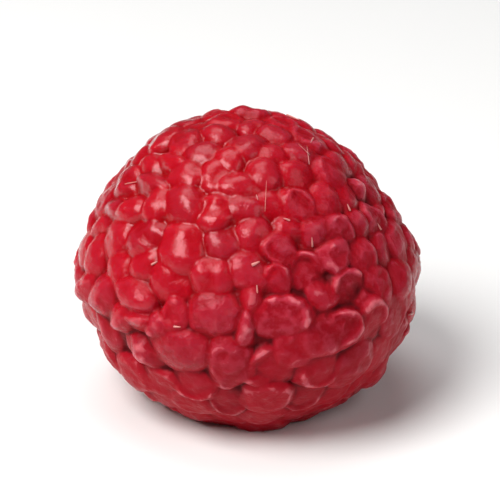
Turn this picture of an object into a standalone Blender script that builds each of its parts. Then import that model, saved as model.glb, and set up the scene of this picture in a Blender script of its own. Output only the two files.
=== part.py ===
"""A picked raspberry, standing on its open end with the tip up.

The berry is one grown piece. Its drupelets are small at the tip and larger towards the rim,
and they are fused into a thick wall round the hollow that the plug left.
"""

import math
import random

import bmesh
import bpy
from mathutils import Matrix, Vector

MM = 0.001

# Outline of the berry, over the tops of its drupelets
BELLY_RADIUS = 11.0 * MM  # at the widest ring
BELLY_HEIGHT = 8.6 * MM  # height of that ring above the table
TIP_HEIGHT = 18.6 * MM
LOWER_DEPTH = 10.3 * MM  # half height of the ellipse under the belly
SHOULDER_ROUND = 0.82  # powers of the upper curve, an ellipse having 1 for both
SHOULDER_TAPER = 1.66
RIM_ANGLE = -57.0  # where the row of drupelets round the rim sits, in degrees
LEAN = Vector((-0.7, 0.3, 0.0)) * MM  # how far the tip leans off the centre

# Drupelets
TIP_SPACING = 2.5 * MM
RIM_SPACING = 3.6 * MM
GROWTH = 0.8  # power of the growth from one to the other, 1 being even
SPREAD = 0.65  # half width over spacing
THICKNESS = 0.50  # half depth over spacing
SIZE_SPREAD = 0.14  # how much one differs from the next
PROUD_SPREAD = 0.13 * MM
RIM_PROUD_SPREAD = 0.04 * MM
TILT_SPREAD = math.radians(8.0)
SPIRAL_TURN = math.pi * (3.0 - math.sqrt(5.0))
ROOM_OVER_RIM = 0.4  # free height over the rim row, over its spacing
PACKING_ROUNDS = 40
PUSH_SHARE = 0.25  # of the missing distance, made up in each round
SEED = 11

# Flesh behind the drupelets, and the hollow
CREASE_DEPTH = 0.75 * MM  # the flesh lies this far under the outline
FLESH_BOTTOM = 0.45 * MM
MOUTH_RADIUS = 4.2 * MM
HOLLOW_TOP_RADIUS = 3.0 * MM
HOLLOW_HEIGHT = 12.2 * MM
DOME_RISE = 0.8  # height of its round top over that top's radius
LIP_ROUND = 1.1 * MM
LIP_DEGREES = (0, 20, 40, 60, 80)
SETTLE = 0.25 * MM  # how far the lowest drupelets are pressed flat

# Mesh
VOXEL = 0.28 * MM
SHARE_KEPT = 0.125  # of the fine mesh's triangles
TURN_STEPS = 48
FLESH_STEPS = 40
SEAT_STEPS = 200
DOME_DEGREES = (72, 54, 36, 18, 0)
SLAB_DEPTH = 4.0 * MM

FLESH_RED = (0.42, 0.012, 0.022, 1.0)
ROUGHNESS = 0.42


def clear_scene():
    for old in list(bpy.data.objects):
        bpy.data.objects.remove(old, do_unlink=True)


def outline(angle):
    """(radius, height) of the outline: 90 degrees is the tip, 0 the belly, less the underside."""
    rise = math.sin(math.radians(abs(angle)))
    run = math.cos(math.radians(angle))
    if angle < 0.0:
        return BELLY_RADIUS * run, BELLY_HEIGHT - LOWER_DEPTH * rise
    height = BELLY_HEIGHT + (TIP_HEIGHT - BELLY_HEIGHT) * rise**SHOULDER_TAPER
    return BELLY_RADIUS * run**SHOULDER_ROUND, height


def outline_path(steps, inset=0.0):
    """(point, outward normal) pairs down the outline from the tip to the rim, as 2D vectors."""
    points = [Vector(outline(90.0 + (RIM_ANGLE - 90.0) * k / steps)) for k in range(steps + 1)]
    found = []
    for k, point in enumerate(points):
        along = points[min(k + 1, steps)] - points[max(k - 1, 0)]
        normal = Vector((-along.y, along.x)).normalized()
        found.append((point - normal * inset, normal))
    return found


class Seat:
    """Where one drupelet grows: its place on the outline, the way it faces and its size."""

    def __init__(self, point, turn, spacing, fixed):
        self.place = Vector((point.x * math.cos(turn), point.x * math.sin(turn), point.y))
        self.out = Vector((0.0, 0.0, 1.0))
        self.spacing = spacing
        self.fixed = fixed

    def snap(self, path):
        """Puts the seat back on the outline, facing out of it."""
        here = Vector((math.hypot(self.place.x, self.place.y), self.place.z))
        point, normal = min(path, key=lambda pair: (pair[0] - here).length_squared)
        turn = math.atan2(self.place.y, self.place.x)
        spin = Matrix.Rotation(turn, 3, "Z")
        self.place = spin @ Vector((point.x, 0.0, point.y))
        self.out = spin @ Vector((normal.x, 0.0, normal.y))


def spiral_seats(path, rng):
    """Seats along a spiral from the tip, as many as the outline has room for above the rim row."""
    length = sum((b[0] - a[0]).length for a, b in zip(path, path[1:]))
    seats, done, room = [], 0.0, 0.0
    for (here, _), (beyond, _) in zip(path, path[1:]):
        step = (beyond - here).length
        spacing = TIP_SPACING + (RIM_SPACING - TIP_SPACING) * (done / length) ** GROWTH
        done += step
        if length - done < ROOM_OVER_RIM * RIM_SPACING:
            break
        room += 2.0 * math.pi * here.x * step / (math.sqrt(0.75) * spacing**2)
        while room > len(seats) + 0.5:
            size = spacing * (1.0 + rng.uniform(-SIZE_SPREAD, SIZE_SPREAD))
            seats.append(Seat(here, len(seats) * SPIRAL_TURN, size, fixed=False))
    return seats


def rim_seats(path):
    """The row of drupelets round the rim, which the berry stands on."""
    point = path[-1][0]
    count = round(2.0 * math.pi * point.x / RIM_SPACING)
    return [Seat(point, 2.0 * math.pi * k / count, RIM_SPACING, fixed=True) for k in range(count)]


def pack_evenly(seats, path):
    """Pushes crowded seats apart along the outline until they share it out."""
    for _ in range(PACKING_ROUNDS):
        pushes = [Vector() for _ in seats]
        for i, one in enumerate(seats):
            for j in range(i + 1, len(seats)):
                gap = seats[j].place - one.place
                want = 0.5 * (one.spacing + seats[j].spacing)
                if 0.0 < gap.length < want:
                    push = gap * (PUSH_SHARE * (want / gap.length - 1.0))
                    pushes[i] -= push
                    pushes[j] += push
        for seat, push in zip(seats, pushes):
            if not seat.fixed:
                seat.place += push
                seat.snap(path)


def drupelet_seats():
    rng = random.Random(SEED)
    path = outline_path(SEAT_STEPS)
    seats = spiral_seats(path, rng) + rim_seats(path)
    for seat in seats:
        seat.snap(path)
    pack_evenly(seats, path)
    for seat in seats:
        proud = RIM_PROUD_SPREAD if seat.fixed else PROUD_SPREAD
        seat.place += seat.out * rng.uniform(-proud, proud)
        seat.tilt = [rng.uniform(-TILT_SPREAD, TILT_SPREAD) for _ in range(2)]
    return seats


def add_drupelet(mesh, seat):
    half = (SPREAD * seat.spacing, SPREAD * seat.spacing, THICKNESS * seat.spacing)
    facing = seat.out.to_track_quat("Z", "Y").to_matrix().to_4x4()
    tilt = Matrix.Rotation(seat.tilt[0], 4, "X") @ Matrix.Rotation(seat.tilt[1], 4, "Y")
    centre = Matrix.Translation(seat.place - seat.out * half[2])
    matrix = centre @ facing @ tilt @ Matrix.Diagonal((*half, 1.0))
    bmesh.ops.create_icosphere(mesh, subdivisions=3, radius=1.0, matrix=matrix)


def add_turned(mesh, profile):
    """A closed turned shape from (radius, height) points, listed from its top to its bottom."""
    rings = []
    for radius, height in profile:
        turns = [2.0 * math.pi * k / TURN_STEPS for k in range(TURN_STEPS if radius > 0.0 else 1)]
        rings.append(
            [mesh.verts.new((radius * math.cos(a), radius * math.sin(a), height)) for a in turns]
        )
    for above, below in zip(rings, rings[1:]):
        for k in range(TURN_STEPS):
            n = k + 1
            corners = [
                above[k % len(above)],
                below[k % len(below)],
                below[n % len(below)],
                above[n % len(above)],
            ]
            mesh.faces.new(list(dict.fromkeys(corners)))


def lean_over(mesh):
    """Leans the berry a little, more towards the tip."""
    for vert in mesh.verts:
        vert.co += LEAN * max(0.0, vert.co.z / TIP_HEIGHT) ** 2


def new_object(name, mesh):
    data = bpy.data.meshes.new(name)
    mesh.to_mesh(data)
    mesh.free()
    made = bpy.data.objects.new(name, data)
    bpy.context.scene.collection.objects.link(made)
    return made


def as_cutter(obj):
    obj.hide_render = True
    obj.display_type = "WIRE"
    return obj


def hollow_cutter():
    """The space that the plug filled: a cone with a round top and a flared mouth."""
    top_depth = DOME_RISE * HOLLOW_TOP_RADIUS
    shoulder = HOLLOW_HEIGHT - top_depth
    profile = [(0.0, HOLLOW_HEIGHT)]
    for degrees in DOME_DEGREES:
        a = math.radians(degrees)
        profile.append((HOLLOW_TOP_RADIUS * math.cos(a), shoulder + top_depth * math.sin(a)))
    for degrees in LIP_DEGREES:
        a = math.radians(degrees)
        flare = LIP_ROUND * (1.0 - math.cos(a))
        profile.append((MOUTH_RADIUS + flare, LIP_ROUND * (1.0 - math.sin(a))))
    profile.append((profile[-1][0], -MM))
    profile.append((0.0, -MM))
    mesh = bmesh.new()
    add_turned(mesh, profile)
    lean_over(mesh)
    cutter = as_cutter(new_object("hollow_cutter", mesh))
    cutter.data.shade_smooth()
    return cutter


def table_cutter():
    """A slab under the berry, which presses its lowest drupelets flat."""
    mesh = bmesh.new()
    side = 4.0 * BELLY_RADIUS
    middle = Matrix.Translation((0.0, 0.0, -SLAB_DEPTH / 2.0))
    sides = Matrix.Diagonal((side, side, SLAB_DEPTH, 1.0))
    bmesh.ops.create_cube(mesh, size=1.0, matrix=middle @ sides)
    return as_cutter(new_object("table_cutter", mesh))


def berry_material():
    material = bpy.data.materials.new("berry_flesh")
    material.use_nodes = True
    shader = material.node_tree.nodes["Principled BSDF"]
    shader.inputs["Base Color"].default_value = FLESH_RED
    shader.inputs["Roughness"].default_value = ROUGHNESS
    shader.inputs["Metallic"].default_value = 0.0
    return material


def cut(obj, cutter):
    boolean = obj.modifiers.new(cutter.name, "BOOLEAN")
    boolean.operation = "DIFFERENCE"
    boolean.solver = "EXACT"
    boolean.object = cutter


def build_berry():
    mesh = bmesh.new()
    flesh = [(point.x, point.y) for point, _ in outline_path(FLESH_STEPS, CREASE_DEPTH)]
    top, side = flesh[0][1], flesh[-1][0]
    add_turned(mesh, [(0.0, top), *flesh[1:-1], (side, FLESH_BOTTOM), (0.0, FLESH_BOTTOM)])
    for seat in drupelet_seats():
        add_drupelet(mesh, seat)
    lean_over(mesh)
    lowest = min(vert.co.z for vert in mesh.verts)
    bmesh.ops.translate(mesh, verts=mesh.verts, vec=(0.0, 0.0, -SETTLE - lowest))

    berry = new_object("raspberry", mesh)
    skin = berry.modifiers.new("skin", "REMESH")
    skin.mode = "VOXEL"
    skin.voxel_size = VOXEL
    skin.use_smooth_shade = True
    fewer = berry.modifiers.new("fewer", "DECIMATE")
    fewer.decimate_type = "COLLAPSE"
    fewer.ratio = SHARE_KEPT
    cut(berry, hollow_cutter())
    cut(berry, table_cutter())
    berry.data.materials.append(berry_material())
    berry.data.shade_smooth()


clear_scene()
build_berry()
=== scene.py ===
import math
import random
import bpy
import numpy as np
from mathutils import Matrix, Vector
from mathutils.kdtree import KDTree


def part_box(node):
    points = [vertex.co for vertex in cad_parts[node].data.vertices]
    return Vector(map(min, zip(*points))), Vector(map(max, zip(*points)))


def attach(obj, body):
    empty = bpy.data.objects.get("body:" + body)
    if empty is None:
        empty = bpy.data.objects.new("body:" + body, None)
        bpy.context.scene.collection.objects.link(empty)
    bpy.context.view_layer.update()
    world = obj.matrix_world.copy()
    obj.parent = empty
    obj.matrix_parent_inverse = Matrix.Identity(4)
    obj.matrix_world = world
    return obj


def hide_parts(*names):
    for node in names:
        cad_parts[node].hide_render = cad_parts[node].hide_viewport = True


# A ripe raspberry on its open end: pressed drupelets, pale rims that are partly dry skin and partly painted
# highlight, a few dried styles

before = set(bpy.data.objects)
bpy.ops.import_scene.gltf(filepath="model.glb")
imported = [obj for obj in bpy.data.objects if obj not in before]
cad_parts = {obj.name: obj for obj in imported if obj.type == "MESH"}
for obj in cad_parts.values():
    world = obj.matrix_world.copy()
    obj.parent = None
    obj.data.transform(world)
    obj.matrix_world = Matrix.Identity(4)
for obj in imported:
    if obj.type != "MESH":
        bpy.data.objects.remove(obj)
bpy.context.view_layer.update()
lowCorner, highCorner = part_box("raspberry")
mm = 0.001

berry = {
    "bellyRadius": (highCorner.x - lowCorner.x) / 2,
    "top": highCorner.z - 1.0 * mm,
    "bellyHeight": 8.4 * mm,
    "underDepth": 10.3 * mm,  # half height of the ellipse below the belly
    "shoulderRound": 0.82,
    "shoulderTaper": 1.66,
    "lean": Vector((-0.7, 0.3, 0.0)) * mm,  # how far the tip leans
    "creaseDepth": 0.8 * mm,  # flesh below the tops of the drupelets
    "rimRise": -56,
}


def leanAt(height):
    return berry["lean"] * max(0, height / berry["top"]) ** 2


def outlinePoint(rise):
    # radius and height on the outline: rise 90 is the tip, 0 the belly
    up = math.sin(math.radians(abs(rise)))
    across = max(0.0, math.cos(math.radians(rise)))
    if rise < 0:
        return berry["bellyRadius"] * across, berry["bellyHeight"] - berry["underDepth"] * up
    height = berry["bellyHeight"] + (berry["top"] - berry["bellyHeight"]) * up ** berry["shoulderTaper"]
    return berry["bellyRadius"] * across ** berry["shoulderRound"], height


def onBerry(turn, rise):
    # place, and the way right, up and out; turn 0 faces -Y and grows towards +X
    step = 0.5
    r, z = outlinePoint(rise)
    above = Vector(outlinePoint(rise + step))
    below = Vector(outlinePoint(rise - step))
    along = (above - below).normalized()
    if rise > 89:
        along = Vector((-1.0, 0.0))
    spin = Matrix.Rotation(math.radians(turn) - math.pi / 2, 3, "Z")
    up = spin @ Vector((along.x, 0, along.y))
    out = spin @ Vector((along.y, 0, -along.x))
    place = spin @ Vector((r, 0, z))
    place += leanAt(z)
    return place, up.cross(out), up, out


def deselectAll():
    if bpy.context.object and bpy.context.object.mode != "OBJECT":
        bpy.ops.object.mode_set(mode="OBJECT")
    bpy.ops.object.select_all(action="DESELECT")


def makeActive(obj):
    deselectAll()
    obj.select_set(True)
    bpy.context.view_layer.objects.active = obj


def selectFaces(obj, wanted):
    # picks faces by a test on their middle and normal, in edit mode
    bpy.ops.object.mode_set(mode="OBJECT")
    for v in obj.data.vertices:
        v.select = False
    for e in obj.data.edges:
        e.select = False
    for f in obj.data.polygons:
        f.select = wanted(f.center, f.normal)
    bpy.ops.object.mode_set(mode="EDIT")


def applyAll(obj):
    makeActive(obj)
    for m in list(obj.modifiers):
        bpy.ops.object.modifier_apply(modifier=m.name)


def joinAll(first, others, name):
    deselectAll()
    for obj in others:
        obj.select_set(True)
    first.select_set(True)
    bpy.context.view_layer.objects.active = first
    bpy.ops.object.join()
    joined = bpy.context.object
    joined.name = name
    return joined


# One drupelet of each kind, about 1 to each side, its top at zero height

def pillow(cuts, roundness):
    # a cube blown up towards a ball, left open in edit mode
    bpy.ops.mesh.primitive_cube_add(size=2)
    obj = bpy.context.object
    bpy.ops.object.mode_set(mode="EDIT")
    bpy.ops.mesh.subdivide(number_cuts=cuts)
    bpy.ops.transform.tosphere(value=roundness)
    return obj


def plumpDrupelet():
    # round and full, its top a little off the middle
    obj = pillow(5, 0.9)
    selectFaces(obj, lambda c, n: c.z > 0.75)
    bpy.ops.transform.translate(value=(0.05, 0.08, 0.04))
    return obj


def plateDrupelet(flat, dish, lip):
    # a flat scale: its top pressed down, with a thin lip on one side and a dent off its middle,
    # or a low rise where the dish is below zero
    obj = pillow(11, 0.86)
    selectFaces(obj, lambda c, n: c.z > 0.3)
    bpy.ops.transform.resize(value=(1.02, 1.02, flat), center_override=(0, 0, 0.35))
    selectFaces(obj, lambda c, n: c.z > 0.2 and 0.74 < math.hypot(c.x, c.y) < 0.88 and c.y + c.x > 0.1)
    bpy.ops.transform.translate(value=(0, 0, lip))
    selectFaces(obj, lambda c, n: c.z > 0.3 and math.hypot(c.x + 0.12, c.y + 0.1) < 0.45)
    bpy.ops.transform.translate(value=(0, 0, -dish * 0.5))
    selectFaces(obj, lambda c, n: c.z > 0.3 and math.hypot(c.x + 0.16, c.y + 0.14) < 0.25)
    bpy.ops.transform.translate(value=(0, 0, -dish * 0.5))
    return obj


def lippedDrupelet():
    # a plate whose far edge curls up in a thin crescent
    obj = plateDrupelet(flat=0.6, dish=0.0, lip=0.01)
    selectFaces(obj, lambda c, n: c.z > 0.1 and 0.74 < math.hypot(c.x, c.y) < 0.88 and c.y > 0.25)
    bpy.ops.transform.translate(value=(0, 0.02, 0.22))
    return obj


def crestDrupelet():
    # long, with a soft ridge pinched up along it
    obj = pillow(7, 0.9)
    selectFaces(obj, lambda c, n: c.z > 0.55)
    bpy.ops.transform.resize(value=(1.05, 0.72, 1.0), center_override=(0, 0, 0))
    selectFaces(obj, lambda c, n: c.z > 0.75 and abs(c.y) < 0.15)
    bpy.ops.transform.translate(value=(0, 0.03, 0.09))
    return obj


def cleftDrupelet():
    # plump, with a fold across its top that splits it in two lobes
    obj = pillow(8, 0.92)
    selectFaces(obj, lambda c, n: c.z > 0.45 and abs(c.y - 0.12) < 0.14)
    bpy.ops.transform.translate(value=(0, 0, -0.16))
    return obj


def finishMaster(obj, name):
    # top brought to zero
    bpy.ops.object.mode_set(mode="OBJECT")
    obj.name = name
    smooth = obj.modifiers.new("round", "SUBSURF")
    smooth.levels = smooth.render_levels = 1
    applyAll(obj)
    top = max(v.co.z for v in obj.data.vertices)
    bpy.ops.object.mode_set(mode="EDIT")
    bpy.ops.mesh.select_all(action="SELECT")
    bpy.ops.transform.translate(value=(0, 0, -top))
    bpy.ops.object.mode_set(mode="OBJECT")
    return obj


# depth and overlap over the half width of the place, how dried out the kind is, 0 to 1,
# and how far it may be twisted either way, in degrees
kinds = {
    "plump": {"depth": 0.85, "overlap": 1.16, "dry": 0.2, "twist": 20},
    "cleft": {"depth": 0.85, "overlap": 1.16, "dry": 0.3, "twist": 20},
    "crest": {"depth": 0.85, "overlap": 1.2, "dry": 0.6, "twist": 20},
    "plate": {"depth": 0.8, "overlap": 1.12, "dry": 0.8, "twist": 120},
    "lipped": {"depth": 0.8, "overlap": 1.12, "dry": 0.85, "twist": 20},
    "ring": {"depth": 0.85, "overlap": 1.1, "dry": 1.0, "twist": 20},
}
deselectAll()
masters = {
    "plump": finishMaster(plumpDrupelet(), "plump"),
    "cleft": finishMaster(cleftDrupelet(), "cleft"),
    "crest": finishMaster(crestDrupelet(), "crest"),
    "plate": finishMaster(plateDrupelet(flat=0.6, dish=-0.03, lip=0.07), "plate"),
    "lipped": finishMaster(lippedDrupelet(), "lipped"),
    "ring": finishMaster(plateDrupelet(flat=0.6, dish=0.16, lip=0.05), "ring"),
}
print("drupelet kinds:", len(masters))

# The drupelets that show from the front: kind, turn, rise, width and height in mm,
# roll in degrees, and lift, how far the lower edge stands out, in degrees
frontDrupelets = [
    # round the tip
    ("plump", -60, 84, 2.2, 2.0, 10, 0),
    ("plump", 120, 86, 2.1, 2.0, 0, 0),
    ("plump", 70, 80, 2.2, 2.0, 0, 0),
    ("plump", 8, 79, 2.3, 2.0, 0, 4),
    ("plate", -75, 75, 2.4, 2.0, 0, 0),
    ("plump", -35, 75, 2.5, 2.2, 0, 4),
    ("plump", -14, 76, 1.8, 2.0, 0, 0),
    ("plump", 32, 74, 2.2, 2.1, 0, 0),
    ("plump", 58, 70, 2.2, 2.1, 0, 0),
    ("plate", -95, 70, 2.4, 2.2, 0, 0),
    ("plate", 92, 70, 2.4, 2.2, 0, 0),
    # second ring
    ("crest", -60, 67, 2.4, 1.5, 30, 0),
    ("plump", -38, 66, 2.2, 2.2, 0, 4),
    ("plump", -19, 67, 1.9, 2.1, 0, 0),
    ("plump", -2, 65, 2.4, 1.9, 0, 4),
    ("plump", 17, 67, 2.0, 2.1, 0, 0),
    ("plump", 39, 64, 2.2, 2.2, 0, 4),
    ("plate", 66, 60, 2.2, 2.2, 0, 0),
    ("crest", -80, 60, 2.5, 1.8, 40, 0),
    # third ring
    ("crest", -60, 57, 2.5, 1.6, 38, 0),
    ("plump", -31, 55, 2.6, 2.4, 0, 6),
    ("cleft", -14, 54, 2.1, 2.5, 20, 4),
    ("plump", 2, 55, 2.0, 2.1, 0, 0),
    ("plump", 16, 56, 2.0, 2.0, 0, 0),
    ("lipped", 30, 55, 2.1, 2.0, -20, 0),
    ("plump", 46, 53, 2.1, 2.1, 0, 2),
    ("plump", 60, 50, 2.1, 2.1, 0, 0),
    ("crest", 77, 50, 2.1, 1.8, -40, 0),
    ("plump", -47, 50, 2.1, 2.2, 0, 0),
    ("crest", -62, 46, 2.4, 1.6, 50, 0),
    ("crest", -75, 41, 2.4, 1.7, 55, 0),
    # fourth ring
    ("cleft", -45, 41, 2.6, 2.6, 0, 5),
    ("cleft", -26, 42, 2.6, 3.0, 0, 5),
    ("plump", -8, 44, 2.5, 2.4, 0, 0),
    ("plump", 4, 46, 1.9, 2.2, 0, 0),
    ("lipped", 14, 42, 2.1, 2.0, 90, 0),
    ("plump", 22, 48, 1.8, 1.8, 0, 2),
    ("plump", 33, 45, 1.9, 1.8, 0, 0),
    ("plate", 44, 43, 2.1, 1.8, 0, 0),
    ("plump", 56, 41, 2.1, 2.1, 0, 0),
    ("plate", 69, 39, 2.1, 2.1, 0, 0),
    ("crest", 82, 38, 2.1, 2.0, -30, 0),
    ("plump", -62, 35, 2.3, 2.4, 0, 3),
    ("crest", -79, 32, 2.4, 1.9, 60, 0),
    # fifth ring
    ("plump", -43, 31, 2.2, 2.1, 0, 0),
    ("plump", -28, 28, 2.4, 2.3, 0, 0),
    ("cleft", -12, 33, 2.3, 2.2, 90, 3),
    ("plump", 2, 36, 2.1, 2.3, 0, 5),
    ("lipped", 12, 32, 1.8, 1.7, 0, 0),
    ("lipped", 24, 33, 2.5, 2.5, -20, 3),
    ("ring", 38, 36, 1.9, 1.6, 0, 0),
    ("plate", 50, 32, 2.2, 2.2, 0, 3),
    ("plump", 63, 29, 2.2, 2.3, 0, 0),
    ("plate", 77, 26, 2.3, 2.3, 0, 0),
    ("plump", -73, 22, 2.4, 2.6, 0, 0),
    # belly
    ("plump", -42, 22, 2.9, 2.1, 0, 9),
    ("crest", -58, 13, 2.4, 2.1, 80, 0),
    ("ring", -25, 15, 1.3, 1.5, 0, 0),
    ("plump", -11, 20, 3.0, 2.6, 0, 4),
    ("crest", 3, 26, 1.5, 1.5, 88, 0),
    ("crest", -1, 15, 1.3, 2.0, 58, 0),
    ("lipped", 12, 17, 3.6, 2.8, -45, 0),
    ("plate", 28, 23, 1.9, 1.7, 0, 0),
    ("lipped", 38, 23, 2.6, 2.2, 10, 3),
    ("plate", 52, 20, 2.3, 2.1, 0, 0),
    ("plump", 66, 15, 2.4, 2.4, 0, 0),
    ("plump", 82, 12, 2.6, 2.5, 0, 0),
    ("crest", -37, 9, 2.2, 1.3, 5, 0),
    ("crest", -74, 6, 2.5, 2.4, 70, 0),
    ("lipped", 29, 8, 4.3, 2.7, -95, 5),
    # below the belly
    ("crest", -47, -2, 2.7, 1.9, 85, 0),
    ("crest", -31, -1, 1.9, 1.3, 80, 0),
    ("plump", -25, -6, 4.0, 3.1, 0, 9),
    ("plate", -6, -10, 2.1, 2.5, 60, 6),
    ("lipped", 8, -11, 2.9, 2.6, 80, 5),
    ("lipped", 24, -14, 2.7, 2.7, 180, 4),
    ("lipped", 45, -2, 2.6, 2.8, -40, 4),
    ("plate", 59, -6, 2.5, 2.8, 0, 3),
    ("plump", 74, -5, 2.7, 2.7, 0, 0),
    ("crest", -60, -13, 2.7, 2.2, 100, 0),
    ("crest", -38, -14, 3.6, 1.7, 115, 0),
    ("plate", 38, -18, 2.6, 2.7, 0, 4),
    ("plate", 52, -20, 2.5, 2.7, 0, 4),
    ("plate", 68, -20, 2.7, 2.7, 0, 3),
    ("plump", -77, -12, 2.7, 2.7, 0, 0),
    # towards the rim
    ("plate", -33, -25, 2.6, 2.1, 0, 4),
    ("lipped", -20, -23, 3.0, 2.2, 180, 5),
    ("lipped", -8, -29, 2.0, 2.4, 180, 4),
    ("plate", 6, -27, 2.8, 2.6, 0, 5),
    ("lipped", 20, -30, 2.5, 2.5, 180, 5),
    ("plate", 34, -32, 2.5, 2.4, 0, 5),
    ("plate", 48, -33, 2.4, 2.4, 0, 4),
    ("plate", 63, -35, 2.6, 2.5, 0, 4),
    ("plate", -50, -29, 2.7, 2.3, 0, 4),
    ("plate", -67, -31, 2.7, 2.5, 0, 4),
]

filler = {
    "tipSpacing": 2.2 * mm,
    "rimSpacing": 2.9 * mm,
    "roomShare": 0.74,  # a filler keeps this share of the spacing from its neighbours
    "sizeChange": 0.1,
    "tries": 4000,
    "lowerRise": 15,  # below this rise the lower kinds grow
    "lowerKinds": ["plate", "plate", "lipped", "ring", "plump", "crest"],
    "upperKinds": ["plump", "plump", "cleft", "plate", "ring"],
    "seed": 7,
}


def fillerSeats():
    # everything that the front list leaves free, on a spiral from the tip to the rim
    rng = random.Random(filler["seed"])
    taken = []
    for kind, turn, rise, wide, tall, roll, lift in frontDrupelets:
        taken.append((onBerry(turn, rise)[0], (wide + tall) / 2 * mm))
    seats = []
    golden = 180 * (3 - math.sqrt(5))
    bottom = math.sin(math.radians(berry["rimRise"]))
    for i in range(filler["tries"]):
        # even cover of the height, with a golden turn
        share = (i + 0.5) / filler["tries"]
        rise = math.degrees(math.asin(1 + (bottom - 1) * share))
        turn = (i * golden) % 360
        grown = (90 - rise) / (90 - berry["rimRise"])
        size = filler["tipSpacing"] + (filler["rimSpacing"] - filler["tipSpacing"]) * grown
        size *= 1 + rng.uniform(-filler["sizeChange"], filler["sizeChange"])
        place = onBerry(turn, rise)[0]
        room = min((place - p).length - filler["roomShare"] * (size + s) / 2 for p, s in taken)
        if room < 0:
            continue
        taken.append((place, size))
        lower = rise < filler["lowerRise"]
        kind = rng.choice(filler["lowerKinds"] if lower else filler["upperKinds"])
        wide = size / mm * rng.uniform(1.0, 1.15)
        tall = size / mm * rng.uniform(0.9, 1.0)
        lift = rng.uniform(1, 6) if lower else rng.uniform(-2, 3)
        seats.append((kind, turn, rise, wide, tall, rng.uniform(0, 360), lift))
    return seats


settle = {
    "rounds": 14,
    "room": 0.93,  # neighbours keep this share of their mean size between middles
    "frontShare": 0.15,  # the listed front ones give way less than the others
    "reach": 5 * mm,
    "smallest": 0.85,
    "largest": 1.1,
    "highestRise": 88,
}


def settleSeats(seats):
    # neighbours that crowd each other move apart little by little, then each fits its room
    seats = [list(seat) for seat in seats]
    front = len(frontDrupelets)
    sizes = [(seat[3] + seat[4]) / 2 * mm for seat in seats]
    for turnNumber in range(settle["rounds"] + 1):
        frames = [onBerry(seat[1], seat[2]) for seat in seats]
        tree = KDTree(len(seats))
        for i, frameHere in enumerate(frames):
            tree.insert(frameHere[0], i)
        tree.balance()
        pushes = [Vector() for _ in seats]
        ratios = [[] for _ in seats]
        for i in range(len(seats)):
            for point, j, distance in tree.find_range(frames[i][0], settle["reach"]):
                if j == i:
                    continue
                mean = (sizes[i] + sizes[j]) / 2
                ratios[i].append(distance / mean)
                short = mean * settle["room"] - distance
                if short > 0:
                    give = settle["frontShare"] if i < front else 1 - settle["frontShare"]
                    pushes[i] += (frames[i][0] - point).normalized() * short * 0.5 * give
        if turnNumber == settle["rounds"]:
            break
        for i, (place, right, up, out) in enumerate(frames):
            radius = max(1.5 * mm, math.hypot(place.x, place.y))  # keeps the turns small near the tip
            degreeLength = (onBerry(seats[i][1], seats[i][2] - 1)[0] - place).length
            seats[i][1] += math.degrees(pushes[i].dot(right) / radius)
            rise = seats[i][2] + pushes[i].dot(up) / degreeLength
            seats[i][2] = min(settle["highestRise"], max(berry["rimRise"], rise))
    for i, seat in enumerate(seats):
        nearest = sorted(ratios[i])[:4]  # the four closest neighbours
        fit = sum(nearest) / len(nearest)
        fit = min(settle["largest"], max(settle["smallest"], fit))
        seat[3] *= fit
        seat[4] *= fit
    return seats


grow = {
    "proud": 0.12 * mm,  # each stands higher or lower by up to this
    "waves": 3,  # slow waves that bend each drupelet out of round
    "waveHeight": 0.09,  # as a share of the half width
    "waveTurns": 2.4,  # radians across the half width
    "seed": 3,
}


def warpDrupelet(data, rng):
    for _ in range(grow["waves"]):
        along = Vector([rng.uniform(-1, 1) for axis in range(3)]).normalized()
        push = Vector([rng.uniform(-1, 1) for axis in range(3)]) * grow["waveHeight"]
        start = rng.uniform(0, 2 * math.pi)
        for v in data.vertices:
            v.co += push * math.sin(v.co.dot(along) * grow["waveTurns"] + start)


def growDrupelets():
    rng = random.Random(grow["seed"])
    copies = []
    seats = settleSeats(frontDrupelets + fillerSeats())
    for kind, turn, rise, wide, tall, roll, lift in seats:
        place, right, up, out = onBerry(turn, rise)
        basis = Matrix((right, up, out)).transposed().to_4x4()
        twist = rng.uniform(-1, 1) * kinds[kind]["twist"]
        spin = Matrix.Rotation(math.radians(roll + twist), 4, "Z")
        tip = Matrix.Rotation(-math.radians(lift), 4, "X")
        halfWide = wide / 2 * mm * kinds[kind]["overlap"]
        halfTall = tall / 2 * mm * kinds[kind]["overlap"]
        depth = (halfWide + halfTall) / 2 * kinds[kind]["depth"]
        size = Matrix.Diagonal((halfWide, halfTall, depth, 1))
        proud = rng.uniform(-1, 1) * grow["proud"]
        obj = masters[kind].copy()
        obj.data = masters[kind].data.copy()
        warpDrupelet(obj.data, rng)
        obj.data.transform(Matrix.Translation(place + out * proud) @ basis @ tip @ size @ spin)
        bpy.context.scene.collection.objects.link(obj)
        copies.append(obj)
    print("drupelets:", len(copies))
    return copies, seats


copies, seats = growDrupelets()


fleshShape = {
    "outlineSteps": 36,
    "spinSteps": 64,
    "foot": 0.3 * mm,  # the flesh stays this far above the table
}


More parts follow.
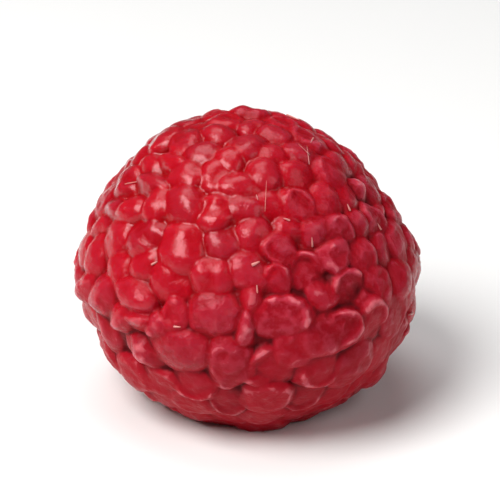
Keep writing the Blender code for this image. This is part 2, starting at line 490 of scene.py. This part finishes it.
def fleshBody():
    # the flesh behind the drupelets: its half outline extruded point by point, then spun
    steps = fleshShape["outlineSteps"]
    bpy.ops.mesh.primitive_plane_add(size=mm)
    obj = bpy.context.object
    obj.name = "flesh"
    bpy.ops.object.mode_set(mode="EDIT")
    bpy.ops.mesh.select_all(action="SELECT")
    bpy.ops.mesh.merge(type="CENTER")
    points = []
    for k in range(steps + 1):
        rise = 90 + (berry["rimRise"] - 90) * k / steps
        r, z = outlinePoint(rise)
        a = Vector(outlinePoint(min(90, rise + 0.5))) - Vector(outlinePoint(rise - 0.5))
        a.normalize()
        points.append(Vector((r - a.y * berry["creaseDepth"], 0, z + a.x * berry["creaseDepth"])))
    points[0].x = 0
    points.append(Vector((points[-1].x, 0, fleshShape["foot"])))
    points.append(Vector((0, 0, fleshShape["foot"])))
    bpy.ops.transform.translate(value=points[0])
    for here, there in zip(points, points[1:]):
        bpy.ops.mesh.extrude_region_move(TRANSFORM_OT_translate={"value": there - here})
    bpy.ops.mesh.select_all(action="SELECT")
    bpy.ops.mesh.spin(steps=fleshShape["spinSteps"], angle=2 * math.pi, center=(0, 0, 0), axis=(0, 0, 1))
    bpy.ops.mesh.select_all(action="SELECT")
    bpy.ops.mesh.remove_doubles(threshold=0.000001)
    bpy.ops.mesh.normals_make_consistent(inside=False)
    bpy.ops.object.mode_set(mode="OBJECT")
    for v in obj.data.vertices:
        v.co += leanAt(v.co.z)
    return obj


deselectAll()
flesh = fleshBody()
skin = joinAll(flesh, copies, "berrySkin")
for m in masters.values():
    bpy.data.objects.remove(m)
print("joined:", len(skin.data.polygons), "faces")

hollow = {
    "mouth": 4.3 * mm,
    "topRadius": 3.0 * mm,
    "topRound": 0.8,  # height of the round top over its radius
    "height": 12.2 * mm,
    "below": 1.0 * mm,  # how far the tool reaches under the table
}


def hollowTool():
    # the space the plug filled, as a tapered cone with a round top
    bpy.ops.mesh.primitive_uv_sphere_add(segments=48, ring_count=24, radius=1)
    obj = bpy.context.object
    obj.name = "hollowTool"
    domeHeight = hollow["topRadius"] * hollow["topRound"]
    neck = hollow["height"] - domeHeight
    for v in obj.data.vertices:
        across = Vector((v.co.x, v.co.y, 0))
        if v.co.z > 0:
            height = neck + v.co.z * domeHeight
            v.co = across * hollow["topRadius"]
        else:
            # the lower half of the ball becomes the cone, closed by its last few rings
            share = -v.co.z
            if across.length > 0.001:
                across.normalize()
            radius = hollow["topRadius"] + (hollow["mouth"] - hollow["topRadius"]) * share
            height = neck * (1 - share) - hollow["below"] * share
            v.co = across * radius * min(1.0, (1 - share) * 12)
        v.co.z = height
    for v in obj.data.vertices:
        v.co += leanAt(v.co.z)
    return obj


skinDetail = {
    "voxel": 0.09 * mm,
    "triangles": 190000,
    "lumpSize": 1.1 * mm,
    "lumpHeight": 0.18 * mm,
    "ridgeSize": 1.0 * mm,
    "ridgeHeight": 0.05 * mm,
    "wrinkleSize": 0.35 * mm,
    "wrinkleHeight": 0.055 * mm,
    "softening": 0.35,
    "seatDepth": 0.6 * mm,  # of a drupelet's middle under the skin
}


def addNoise(obj, name, kind, size, height, **settings):
    tex = bpy.data.textures.new(name, kind)
    tex.noise_scale = size
    for key, value in settings.items():
        setattr(tex, key, value)
    push = obj.modifiers.new(name, "DISPLACE")
    push.texture = tex
    push.texture_coords = "LOCAL"
    push.strength = height
    push.mid_level = 0.5
    return push


def wrapSkin():
    # one closed skin over flesh and drupelets
    wrap = skin.modifiers.new("wrap", "REMESH")
    wrap.mode = "VOXEL"
    wrap.voxel_size = skinDetail["voxel"]
    wrap.use_smooth_shade = True
    soften = skin.modifiers.new("soften", "SMOOTH")
    soften.factor = skinDetail["softening"]
    soften.iterations = 1
    applyAll(skin)


def seatTree():
    tree = KDTree(len(seats))
    for i, (kind, turn, rise, wide, tall, roll, lift) in enumerate(seats):
        place, right, up, out = onBerry(turn, rise)
        tree.insert(place - out * skinDetail["seatDepth"], i)
    tree.balance()
    return tree


drying = {
    # plumpSide points almost the same way as the key light, so the dried side is the side facing away from
    # it
    "plumpSide": Vector((-0.45, -0.35, 0.82)).normalized(),  # the plump drupelets face up and left
    "middle": Vector((0, 0, 8 * mm)),
    "startsAt": 0.92,  # how squarely a place faces the plump side when drying starts
    "fade": 0.5,
    "least": 0.2,
    "bySide": 0.35,
    "byKind": 0.55,
}


def dryness(point, kind):
    # 0 is fresh and 1 is dried out
    facing = (point - drying["middle"]).normalized().dot(drying["plumpSide"])
    side = min(1.0, max(0.0, (drying["startsAt"] - facing) / drying["fade"]))
    return min(1.0, drying["least"] + drying["byKind"] * side * kinds[kind]["dry"] + drying["bySide"] * side)


def groupDry():
    tree = seatTree()
    group = skin.vertex_groups.new(name="dry")
    for v in skin.data.vertices:
        kind = seats[tree.find(v.co)[1]][0]
        group.add([v.index], dryness(v.co, kind), "REPLACE")


def creaseSkin():
    addNoise(skin, "lumps", "CLOUDS", skinDetail["lumpSize"], skinDetail["lumpHeight"], noise_depth=1)
    ridges = addNoise(skin, "ridges", "MUSGRAVE", skinDetail["ridgeSize"], skinDetail["ridgeHeight"],
                      musgrave_type="RIDGED_MULTIFRACTAL", octaves=2, noise_intensity=0.7)
    ridges.vertex_group = "dry"
    ridges.mid_level = 0.3
    wrinkles = addNoise(skin, "wrinkles", "CLOUDS", skinDetail["wrinkleSize"], skinDetail["wrinkleHeight"],
                        noise_depth=2, noise_type="SOFT_NOISE")
    wrinkles.vertex_group = "dry"
    applyAll(skin)


def hollowSkin():
    tool = hollowTool()
    makeActive(skin)
    cut = skin.modifiers.new("hollow", "BOOLEAN")
    cut.operation = "DIFFERENCE"
    cut.solver = "EXACT"
    cut.object = tool
    applyAll(skin)
    bpy.data.objects.remove(tool)


def pressFeet():
    # feet pressed flat on the table
    lowest = min(v.co.z for v in skin.data.vertices)
    print("lowest point", round(lowest / mm, 2), "mm")
    for v in skin.data.vertices:
        if v.co.z < 0:
            v.co.z = 0


def thinSkin():
    skin.data.calc_loop_triangles()
    count = len(skin.data.loop_triangles)
    print("triangles before", count)
    fewer = skin.modifiers.new("fewer", "DECIMATE")
    fewer.ratio = min(1.0, skinDetail["triangles"] / count)
    applyAll(skin)
    makeActive(skin)
    bpy.ops.object.shade_smooth()
    skin.data.calc_loop_triangles()
    print("skin:", len(skin.data.loop_triangles), "triangles")


wrapSkin()
groupDry()
creaseSkin()
hollowSkin()
thinSkin()
pressFeet()


# smoothing rounds and full height in mm of each relief
reliefs = {
    "reliefFine": {"rounds": 10, "span": 0.1},
    "reliefBroad": {"rounds": 60, "span": 0.2},
}


def markRelief():
    # relief: the skin against a smoothed copy of itself, above 0.5 on rims and tops, below in creases
    data = skin.data
    count = len(data.vertices)
    co = np.empty(count * 3)
    data.vertices.foreach_get("co", co)
    co = co.reshape(-1, 3)
    normals = np.empty(count * 3)
    data.vertices.foreach_get("normal", normals)
    normals = normals.reshape(-1, 3)
    ends = np.empty(len(data.edges) * 2, dtype=int)
    data.edges.foreach_get("vertices", ends)
    a, b = ends.reshape(-1, 2).T
    links = np.bincount(a, minlength=count) + np.bincount(b, minlength=count)
    for name, relief in reliefs.items():
        soft = co.copy()
        for _ in range(relief["rounds"]):
            total = np.zeros_like(soft)
            for axis in range(3):
                total[:, axis] = np.bincount(a, weights=soft[b, axis], minlength=count)
                total[:, axis] += np.bincount(b, weights=soft[a, axis], minlength=count)
            soft = total / np.maximum(links, 1)[:, None]
        height = ((co - soft) * normals).sum(axis=1) / mm
        print(name, np.percentile(height, [1, 10, 50, 90, 99]).round(3))
        value = np.clip(height / relief["span"], -1, 1) * 0.5 + 0.5
        attribute = data.attributes.new(name, "FLOAT", "POINT")
        attribute.data.foreach_set("value", value.astype(np.float32))
    # tone: one number for each drupelet
    rng = random.Random(5)
    tree = seatTree()
    tones = [rng.random() for _ in seats]
    near = [tree.find(p)[1] for p in co]
    attribute = data.attributes.new("tone", "FLOAT", "POINT")
    attribute.data.foreach_set("value", np.array([tones[i] for i in near], dtype=np.float32))
    attribute = data.attributes.new("dryness", "FLOAT", "POINT")
    dry = [dryness(Vector(p), seats[i][0]) for p, i in zip(co, near)]
    attribute.data.foreach_set("value", np.array(dry, dtype=np.float32))
    # inside: 1 in the hollow
    lean = np.array(berry["lean"])[None, :] * (np.maximum(co[:, 2:], 0) / berry["top"]) ** 2
    radius = np.hypot(co[:, 0] - lean[:, 0], co[:, 1] - lean[:, 1])
    deep = (radius < hollow["mouth"] + 0.1 * mm) & (co[:, 2] < hollow["height"] + 0.3 * mm)
    attribute = data.attributes.new("inside", "FLOAT", "POINT")
    attribute.data.foreach_set("value", deep.astype(np.float32))


markRelief()

skinLook = {
    "ripeCrease": (0.40, 0.0002, 0.003, 1),
    # dryCreaseShade is painted shade: the creases of the dried side, away from the key light, go nearly
    # black-red
    "dryCreaseShade": (0.09, 0.0001, 0.001, 1),
    "ripe": (0.40, 0.0010, 0.007, 1),
    "dry": (0.34, 0.0015, 0.009, 1),
    "dark": (0.20, 0.0005, 0.004, 1),
    "bloom": (0.46, 0.036, 0.068, 1),
    "dryRimAndGlint": (0.70, 0.20, 0.24, 1),
    "lining": (0.62, 0.15, 0.15, 1),
    "darkShare": 0.45,  # how far the darkest drupelets go towards the dark red
    "rimBloomAndHighlight": 0.9,
    "patchScale": 350,
    "patchBloom": 0.12,
    "grainScale": 3800,
    "grainBloom": 0.35,
    "shadeBloomFrom": 4 * mm,  # painted shade: the bloom comes up between these two heights, so the berry is a darker, purer red towards the bottom
    "shadeBloomFull": 12 * mm,
    "rimPale": 0.6,
    "ripeRoughness": 0.15,
    "dryRoughness": 0.5,
    "roughScale": 1200,
    "roughChange": 0.12,
    "rimPolish": 0.2,
    "ripeCoat": 0.4,
    "dryCoat": 0.02,
    "glow": 0.5,  # share of the light that goes through the flesh
    "glowReach": 1.0 * mm,
    "bumpStrength": 0.7,
    "bumpHeight": 0.08 * mm,
}


def skinMaterial():
    material = bpy.data.materials.new("raspberrySkin")
    material.use_nodes = True
    nodes = material.node_tree.nodes
    links = material.node_tree.links
    shader = nodes["Principled BSDF"]

    def attribute(name):
        node = nodes.new("ShaderNodeAttribute")
        node.attribute_name = name
        return node.outputs["Fac"]

    def mapRange(value, low, high, toLow, toHigh):
        node = nodes.new("ShaderNodeMapRange")
        node.inputs["From Min"].default_value = low
        node.inputs["From Max"].default_value = high
        node.inputs["To Min"].default_value = toLow
        node.inputs["To Max"].default_value = toHigh
        links.new(value, node.inputs["Value"])
        return node.outputs["Result"]

    def mixColor(amount, first, second):
        node = nodes.new("ShaderNodeMix")
        node.data_type = "RGBA"
        links.new(amount, node.inputs["Factor"])
        for socket, value in ((node.inputs[6], first), (node.inputs[7], second)):
            if isinstance(value, tuple):
                socket.default_value = value
            else:
                links.new(value, socket)
        return node.outputs[2]

    def maths(operation, first, second):
        node = nodes.new("ShaderNodeMath")
        node.operation = operation
        node.use_clamp = True
        for socket, value in zip(node.inputs, (first, second)):
            if isinstance(value, (int, float)):
                socket.default_value = value
            else:
                links.new(value, socket)
        return node.outputs[0]

    place = nodes.new("ShaderNodeTexCoord").outputs["Object"]

    split = nodes.new("ShaderNodeSeparateXYZ")
    links.new(place, split.inputs[0])
    height = split.outputs["Z"]

    def noise(scale, detail):
        node = nodes.new("ShaderNodeTexNoise")
        node.inputs["Scale"].default_value = scale
        node.inputs["Detail"].default_value = detail
        links.new(place, node.inputs["Vector"])
        return node.outputs["Fac"]

    broad = attribute("reliefBroad")
    fine = attribute("reliefFine")
    tone = attribute("tone")
    inside = attribute("inside")
    dry = attribute("dryness")

    # saturated in the creases, with painted shade there: the creases go dark on the dried side, which faces
    # away from the key light; a dusty bloom on tops and rims grows with dryness, its pale rims partly a
    # painted highlight
    creaseShade = mixColor(dry, skinLook["ripeCrease"], skinLook["dryCreaseShade"])
    # the tops also go a little darker towards the dried side, away from the key light: painted shade
    top = mixColor(dry, skinLook["ripe"], skinLook["dry"])
    top = mixColor(mapRange(tone, 0.4, 1, 0, skinLook["darkShare"]), top, skinLook["dark"])
    color = mixColor(mapRange(broad, 0.1, 0.45, 0, 1), creaseShade, top)
    edge = mapRange(fine, 0.55, 0.75, 0, 1)
    # paler on convex rims: partly the dry skin's own colour, partly a painted highlight where the edges
    # catch the light
    paleRimsAndHighlight = maths("MULTIPLY", edge, skinLook["rimBloomAndHighlight"])
    patches = mapRange(noise(skinLook["patchScale"], 3), 0.45, 0.65, 0, skinLook["patchBloom"])
    grain = mapRange(noise(skinLook["grainScale"], 2), 0.48, 0.66, 0, skinLook["grainBloom"])
    # real bloom and grain, plus a painted highlight on the rims and painted shade (less bloom) in the
    # creases and towards the bottom
    bloomAndPaintedLight = maths("ADD", maths("ADD", paleRimsAndHighlight, patches), grain)
    bloomAndPaintedLight = maths("MULTIPLY", bloomAndPaintedLight, mapRange(broad, 0.3, 0.6, 0.1, 1))
    bloomAndPaintedLight = maths("MULTIPLY", bloomAndPaintedLight, mapRange(tone, 0, 1, 0.5, 1.0))
    bloomAndPaintedLight = maths("MULTIPLY", bloomAndPaintedLight, mapRange(dry, 0.2, 1, 0.2, 1.0))
    # painted shade: less bloom, and so a darker red, lower down
    paintedShadeBelow = mapRange(height, skinLook["shadeBloomFrom"], skinLook["shadeBloomFull"], 0.1, 1.0)
    bloomAndPaintedLight = maths("MULTIPLY", bloomAndPaintedLight, paintedShadeBelow)
    color = mixColor(bloomAndPaintedLight, color, skinLook["bloom"])
    # the sharpest rims of dried drupelets go paler still: papery skin plus a painted glint
    paleRimAndGlint = mapRange(fine, 0.8, 0.98, 0, skinLook["rimPale"])
    paleRimAndGlint = maths("MULTIPLY", paleRimAndGlint, mapRange(dry, 0.45, 0.9, 0, 1))
    color = mixColor(paleRimAndGlint, color, skinLook["dryRimAndGlint"])
    color = mixColor(inside, color, skinLook["lining"])
    links.new(color, shader.inputs["Base Color"])

    uneven = mapRange(noise(skinLook["roughScale"], 3), 0.3, 0.7, 0, skinLook["roughChange"])
    worn = mapRange(dry, 0.2, 1, skinLook["ripeRoughness"], skinLook["dryRoughness"])
    rough = maths("ADD", uneven, worn)
    rough = maths("SUBTRACT", rough, maths("MULTIPLY", edge, skinLook["rimPolish"]))
    links.new(rough, shader.inputs["Roughness"])

    shader.inputs["Subsurface Weight"].default_value = skinLook["glow"]
    shader.inputs["Subsurface Radius"].default_value = (1.0, 0.12, 0.1)
    shader.inputs["Subsurface Scale"].default_value = skinLook["glowReach"]
    shader.inputs["IOR"].default_value = 1.38
    shader.inputs["Specular IOR Level"].default_value = 0.33
    shader.inputs["Specular Tint"].default_value = (1.0, 0.4, 0.5, 1)
    shader.inputs["Sheen Weight"].default_value = 0.015
    shader.inputs["Sheen Roughness"].default_value = 0.45
    shader.inputs["Sheen Tint"].default_value = (1.0, 0.45, 0.55, 1)
    coat = mapRange(dry, 0.2, 0.5, skinLook["ripeCoat"], skinLook["dryCoat"])
    links.new(coat, shader.inputs["Coat Weight"])
    shader.inputs["Coat Roughness"].default_value = 0.24

    bump = nodes.new("ShaderNodeBump")
    bump.inputs["Strength"].default_value = skinLook["bumpStrength"]
    bump.inputs["Distance"].default_value = skinLook["bumpHeight"]
    links.new(noise(skinLook["grainScale"], 4), bump.inputs["Height"])
    links.new(bump.outputs["Normal"], shader.inputs["Normal"])
    return material


skin.data.materials.clear()
skin.data.materials.append(skinMaterial())
for f in skin.data.polygons:
    f.material_index = 0
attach(skin, "root")
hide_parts("raspberry")
print("skin finished")

# Dried styles: turn, rise, which way they lie in degrees (90 is up), length and root thickness in mm
styles = {
    "front": [
        (3, 37, 25, 0.6, 0.24),
        (-37, 33, 40, 0.5, 0.18),
        (29, 41, 85, 0.7, 0.14),
        (22, 50, 150, 0.45, 0.16),
        (56, 47, 80, 0.5, 0.16),
        (68, 36, 85, 0.6, 0.14),
        (-24, 9, 5, 0.5, 0.16),
        (4, 28, 88, 0.8, 0.12),
        (9, 59, 95, 2.6, 0.06),
        (12, 55, 80, 2.0, 0.05),
        (54, 66, 60, 1.3, 0.06),
        (58, 68, 110, 1.1, 0.06),
    ],
    "others": 22,  # more of them over the sides and back, within these limits
    "othersTurn": (75, 290),
    "othersRise": (-35, 72),
    "othersLength": (0.4, 1.4),
    "othersThick": (0.06, 0.16),
    "tilt": 5,  # degrees off the skin at most
    "standOff": 0.25,  # of the middle of its root from the skin, over its thickness
    "sides": 6,
    "color": (0.72, 0.30, 0.30, 1),
    "endColor": (0.50, 0.13, 0.10, 1),
    "seed": 11,
}


def styleMaster():
    # a thin tapered thread along +X, curled a little, 1 long and 1 thick at its root
    bpy.ops.mesh.primitive_cylinder_add(vertices=styles["sides"], radius=0.5, depth=0.25, location=(0, 0, 0),
                                        rotation=(0, math.pi / 2, 0))
    obj = bpy.context.object
    obj.name = "styleMaster"
    bpy.ops.object.transform_apply(location=True, rotation=True, scale=True)
    for joint in range(3):
        selectFaces(obj, lambda c, n: n.x > 0.8)
        bpy.ops.mesh.extrude_region_move(TRANSFORM_OT_translate={"value": (0.25, 0.02 * joint, 0)})
        bpy.ops.transform.resize(value=(1, 0.82, 0.82))
    bpy.ops.transform.resize(value=(1, 0.5, 0.5))
    bpy.ops.object.mode_set(mode="OBJECT")
    smooth = obj.modifiers.new("round", "SUBSURF")
    smooth.levels = smooth.render_levels = 1
    applyAll(obj)
    bpy.ops.object.shade_smooth()
    return obj


def growStyles():
    rng = random.Random(styles["seed"])
    places = list(styles["front"])
    for _ in range(styles["others"]):
        turn = rng.uniform(*styles["othersTurn"])
        rise = rng.uniform(*styles["othersRise"])
        lie = rng.uniform(0, 180)
        length = rng.uniform(*styles["othersLength"])
        thick = rng.uniform(*styles["othersThick"])
        places.append((turn, rise, lie, length, thick))
    surface = skin.evaluated_get(bpy.context.evaluated_depsgraph_get())
    master = styleMaster()
    copies = []
    for turn, rise, lie, length, thick in places:
        place, right, up, out = onBerry(turn, rise)
        hit, spot, normal, face = surface.ray_cast(place + out * 4 * mm, -out, distance=8 * mm)
        if not hit:
            continue
        obj = master.copy()
        obj.data = master.data.copy()
        along = right * math.cos(math.radians(lie)) + up * math.sin(math.radians(lie))
        along = (along - normal * along.dot(normal)).normalized()
        basis = Matrix((along, normal.cross(along), normal)).transposed().to_4x4()
        tilt = Matrix.Rotation(math.radians(-rng.uniform(0, styles["tilt"])), 4, "Y")
        size = Matrix.Diagonal((length * mm, thick * mm, thick * mm, 1))
        root = spot + normal * thick * styles["standOff"] * mm
        obj.data.transform(Matrix.Translation(root) @ basis @ tilt @ size)
        bpy.context.scene.collection.objects.link(obj)
        copies.append(obj)
    bpy.data.objects.remove(master)
    print("styles:", len(copies))
    return joinAll(copies[0], copies[1:], "driedStyles")


def styleMaterial():
    material = bpy.data.materials.new("driedStyle")
    material.use_nodes = True
    nodes = material.node_tree.nodes
    links = material.node_tree.links
    shader = nodes["Principled BSDF"]
    place = nodes.new("ShaderNodeTexCoord").outputs["Object"]
    streaks = nodes.new("ShaderNodeTexNoise")
    streaks.inputs["Scale"].default_value = 2500
    links.new(place, streaks.inputs["Vector"])
    mix = nodes.new("ShaderNodeMix")
    mix.data_type = "RGBA"
    mix.inputs[6].default_value = styles["color"]
    mix.inputs[7].default_value = styles["endColor"]
    links.new(streaks.outputs["Fac"], mix.inputs["Factor"])
    links.new(mix.outputs[2], shader.inputs["Base Color"])
    shader.inputs["Roughness"].default_value = 0.3
    shader.inputs["Subsurface Weight"].default_value = 0.2
    shader.inputs["Subsurface Scale"].default_value = 0.0003
    bump = nodes.new("ShaderNodeBump")
    bump.inputs["Strength"].default_value = 0.3
    bump.inputs["Distance"].default_value = 0.00002
    links.new(streaks.outputs["Fac"], bump.inputs["Height"])
    links.new(bump.outputs["Normal"], shader.inputs["Normal"])
    return material


threads = growStyles()
threads.data.materials.clear()
threads.data.materials.append(styleMaterial())
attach(threads, "root")

studio = {
    "aim": Vector((0.0, 0.0, 9.3 * mm)),
    "elevation": 25,
    "lens": 180,
    "sensor": 36,
    "frameWidth": 31.5 * mm,
    "floorSize": 0.8,
    "floorColor": (0.86, 0.86, 0.86, 1),
    "world": 0.05,
}
# name, turn, elevation, distance and size in metres, power and colour
softboxes = [
    ("keyLight", -56, 52, 0.25, 0.17, 0.80, (1, 0.99, 0.97)),
    ("topLight", -160, 70, 0.5, 0.35, 1.0, (1, 1, 1)),
    ("fillLight", 60, 40, 0.3, 0.2, 0.21, (1, 1, 1)),
]


def towards(turn, elevation):
    a = math.radians(turn)
    e = math.radians(elevation)
    return Vector((math.sin(a) * math.cos(e), -math.cos(a) * math.cos(e), math.sin(e)))


def addSoftbox(name, turn, elevation, distance, size, power, color):
    deselectAll()
    way = towards(turn, elevation)
    bpy.ops.object.light_add(type="AREA", location=studio["aim"] + way * distance)
    lamp = bpy.context.object
    lamp.name = name
    lamp.rotation_euler = way.to_track_quat("Z", "Y").to_euler()
    lamp.data.shape = "DISK"
    lamp.data.size = size
    lamp.data.energy = power
    lamp.data.color = color


def buildStudio():
    deselectAll()
    bpy.ops.mesh.primitive_plane_add(size=studio["floorSize"])
    floor = bpy.context.object
    floor.name = "floor"
    material = bpy.data.materials.new("paleFloor")
    material.use_nodes = True
    shader = material.node_tree.nodes["Principled BSDF"]
    shader.inputs["Base Color"].default_value = studio["floorColor"]
    shader.inputs["Roughness"].default_value = 0.8
    shader.inputs["Specular IOR Level"].default_value = 0.1
    floor.data.materials.append(material)

    world = bpy.data.worlds.new("studio")
    world.use_nodes = True
    world.node_tree.nodes["Background"].inputs["Color"].default_value = (1, 1, 1, 1)
    world.node_tree.nodes["Background"].inputs["Strength"].default_value = studio["world"]
    bpy.context.scene.world = world
    for softbox in softboxes:
        addSoftbox(*softbox)

    distance = studio["lens"] * studio["frameWidth"] / studio["sensor"]
    way = towards(0, studio["elevation"])
    bpy.ops.object.camera_add(location=studio["aim"] + way * distance)
    camera = bpy.context.object
    camera.rotation_euler = way.to_track_quat("Z", "Y").to_euler()
    camera.data.lens = studio["lens"]
    camera.data.sensor_width = studio["sensor"]
    camera.data.clip_start = 0.005
    bpy.context.scene.camera = camera
    bpy.context.scene.view_settings.view_transform = "Standard"
    print("studio ready")


buildStudio()
